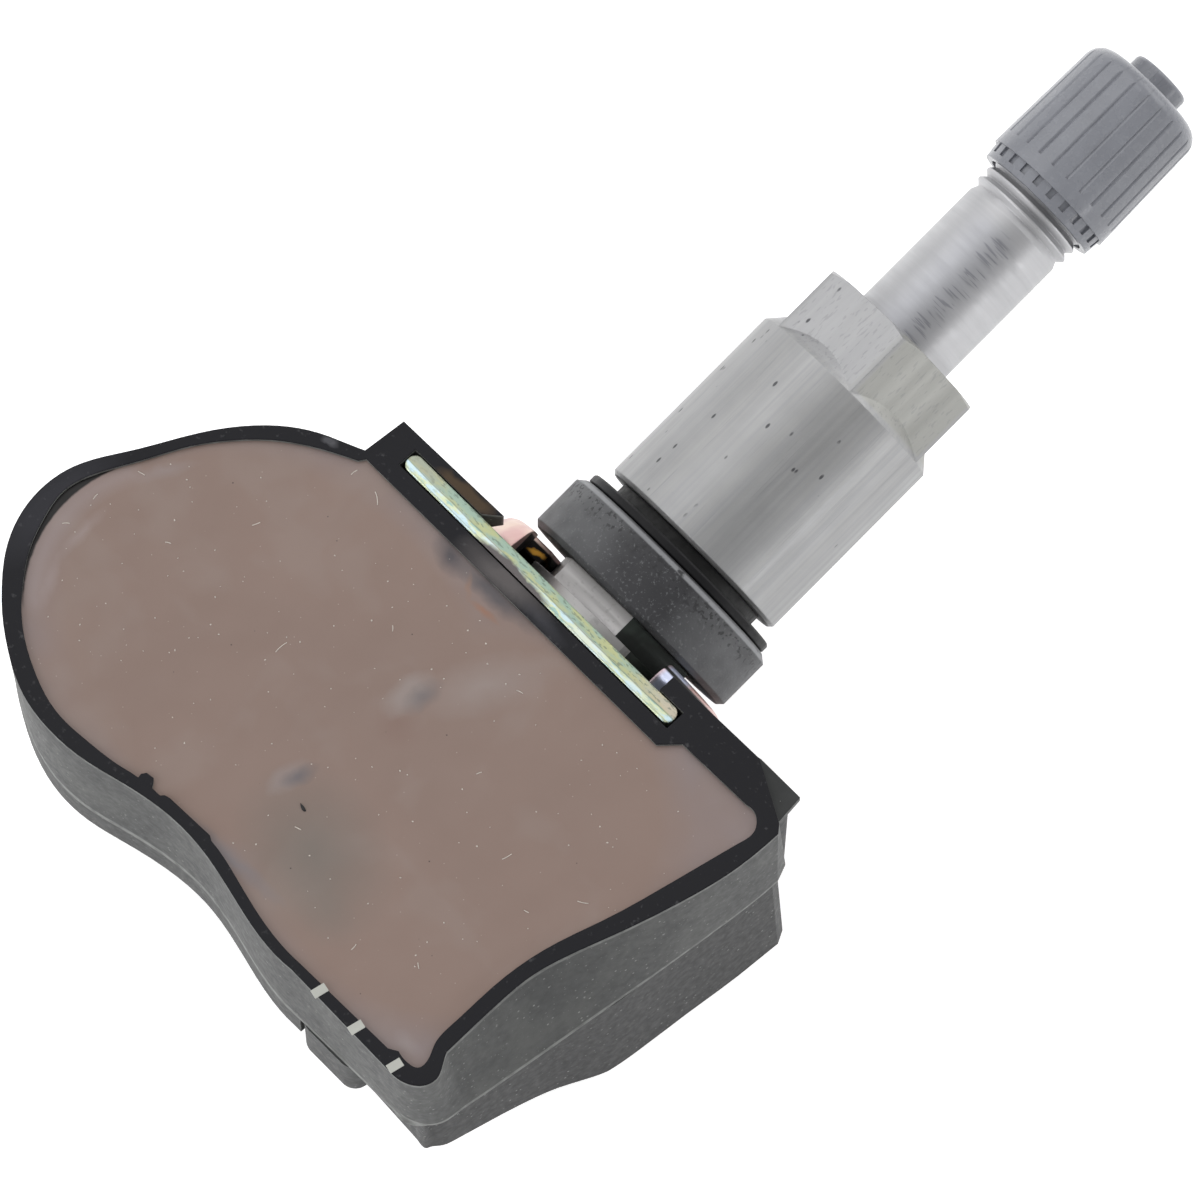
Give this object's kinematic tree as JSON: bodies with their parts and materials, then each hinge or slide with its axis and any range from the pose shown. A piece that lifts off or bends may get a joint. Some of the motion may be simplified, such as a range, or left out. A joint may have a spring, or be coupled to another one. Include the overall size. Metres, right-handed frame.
{
  "type": "tyre pressure sensor",
  "caption": "Clamp-in tyre pressure sensor: a potted plastic housing with a plated bracket, joined to a metal valve with a rubber seat, ring, collar nut and ribbed cap.",
  "frame": {"origin": "on the valve's axis, at the front face of the rubber seat that lies against the wheel rim", "axes": "+X along the bracket, +Y away from the housing towards the valve cap, +Z out of the housing's potted side; the valve's axis rises 11 degrees from +Y towards +Z"},
  "size_m": [0.0497, 0.0814, 0.0258],
  "materials": {
    "housing": "black glass-filled plastic, lightly speckled",
    "potting": "smooth grey brown compound",
    "bracket": "pale iridescent plating",
    "stem": "turned, satin",
    "seat": "dusty black rubber",
    "ring": "dark grey",
    "nut": "turned, satin, with fine pits",
    "cap": "grey plastic",
    "soft_seal": "black rubber",
    "brass": "turned brass",
    "spring": "spring steel",
    "cell": "plated steel can",
    "board": "green solder mask",
    "chip": "moulded package",
    "ferrite": "sintered ferrite",
    "copper": "enamelled copper wire",
    "ceramic": "ceramic chips"
  },
  "bodies": {
    "sensor": {"housing": "housing", "potting": "potting", "bracket": "bracket", "stem": "stem", "rubber_seat": "seat", "core_body": "brass", "core_gasket": "soft_seal", "coin_cell": "cell", "cell_tab_positive": "spring", "cell_tab_negative": "spring", "circuit_board": "board", "sensing_chip": "chip", "port_seal": "soft_seal", "coil_core": "ferrite", "coil_winding": "copper", "clock_crystal": "cell", "antenna_wire": "copper", "chip_capacitors": "ceramic"},
    "ring": {"seat_ring": "ring"},
    "nut": {"collar_nut": "nut"},
    "seal": {"cap_seal": "soft_seal"},
    "cap": {"valve_cap": "cap"},
    "pin": {"core_pin": "brass", "core_plunger": "brass", "core_seal": "soft_seal", "core_spring": "spring"}
  },
  "joints": [
    {"name": "nut_travel", "type": "slide", "parent": "sensor", "child": "ring", "axis": [0, 0.9816, 0.1908], "range_m": [0, 0.008]},
    {"name": "nut_turn", "type": "hinge", "parent": "ring", "child": "nut", "pos_m": [0, 0, 0], "axis": [0, 0.9816, 0.1908], "range_deg": [0, 2900]},
    {"name": "cap_travel", "type": "slide", "parent": "sensor", "child": "seal", "axis": [0, 0.9816, 0.1908], "range_m": [0, 0.0088]},
    {"name": "cap_turn", "type": "hinge", "parent": "seal", "child": "cap", "pos_m": [0, 0, 0], "axis": [0, 0.9816, 0.1908], "range_deg": [0, 4020]},
    {"name": "core_press", "type": "slide", "parent": "sensor", "child": "pin", "axis": [0, -0.9816, -0.1908], "range_m": [0, 0.0013], "stiffness_N_per_m": 1500, "springref_m": -0.002}
  ],
  "couplings": [
    {"joint": "nut_turn", "follows": "nut_travel", "rad_per_m": 6283.2},
    {"joint": "cap_turn", "follows": "cap_travel", "rad_per_m": 7913.3}
  ]
}
